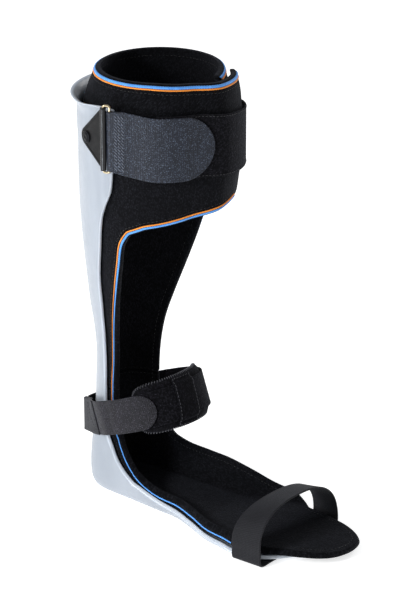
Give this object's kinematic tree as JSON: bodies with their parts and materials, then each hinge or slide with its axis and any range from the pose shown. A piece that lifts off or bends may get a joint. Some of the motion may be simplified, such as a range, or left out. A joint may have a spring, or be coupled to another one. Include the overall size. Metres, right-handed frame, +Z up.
{
  "type": "ankle foot orthosis",
  "caption": "Right ankle foot orthosis: moulded posterior leaf shell with a padded fabric liner, calf cuff strap, padded ankle strap and forefoot strap.",
  "frame": {"origin": "middle of the flat under the heel, on the ground", "axes": "+X towards the toes, +Y towards the inner side of the leg, +Z up the leg"},
  "size_m": [0.254, 0.1336, 0.357],
  "materials": {
    "shell": "frosted, slightly translucent polypropylene",
    "liner": "soft knitted lining over thin foam",
    "patch": "self-adhesive hook tape",
    "blue_cord": "woven piping",
    "orange_cord": "woven piping",
    "bracket": "moulded nylon, glossy barrel",
    "rivet": "black coated steel",
    "ring": "satin",
    "hook_webbing": "woven webbing",
    "loop_pile": "loop pile band",
    "pad": "foam padded knit",
    "spacer": "moulded"
  },
  "bodies": {
    "shell": {"posterior_shell": "shell", "calf_liner": "liner", "foot_liner": "liner", "calf_hook_patch": "patch", "heel_hook_patch": "patch", "forefoot_hook_patch": "patch", "rim_blue_cord": "blue_cord", "rim_orange_cord": "orange_cord", "outer_edge_blue_cord": "blue_cord", "outer_edge_orange_cord": "orange_cord", "inner_edge_blue_cord": "blue_cord", "inner_edge_orange_cord": "orange_cord", "calf_bracket": "bracket", "bracket_rivet": "rivet", "calf_loop_strap": "loop_pile", "calf_loop_rivet": "rivet", "ankle_loop_strap": "loop_pile", "ankle_rivet": "rivet", "ankle_washer": "spacer"},
    "ring": {"strap_ring": "ring"},
    "calf_hook": {"calf_hook_strap": "hook_webbing"},
    "ankle_hook": {"ankle_hook_strap": "hook_webbing"},
    "pad": {"instep_pad": "pad", "pad_keeper": "loop_pile"},
    "forefoot": {"forefoot_strap": "hook_webbing"}
  },
  "joints": [
    {"name": "strap_ring_swing", "type": "hinge", "parent": "shell", "child": "ring", "pos_m": [0.02755, -0.06685, 0.3115], "axis": [0, 0, -1], "range_deg": [0, 35]},
    {"name": "calf_strap_swing", "type": "hinge", "parent": "ring", "child": "calf_hook", "pos_m": [0.03178, -0.06447, 0.311], "axis": [0, 0, -1], "range_deg": [0, 100]},
    {"name": "ankle_strap_swing", "type": "hinge", "parent": "shell", "child": "ankle_hook", "pos_m": [-0.038, -0.0188, 0.05794], "axis": [0, 0, -1], "range_deg": [0, 100]},
    {"name": "instep_pad_slide", "type": "hinge", "parent": "shell", "child": "pad", "pos_m": [0.016, 0, 0.07792], "axis": [-0.342, 0, 0.9397], "range_deg": [-5, 5]},
    {"name": "forefoot_strap_slide", "type": "slide", "parent": "shell", "child": "forefoot", "axis": [1, 0, 0], "range_m": [0, 0.008]}
  ]
}
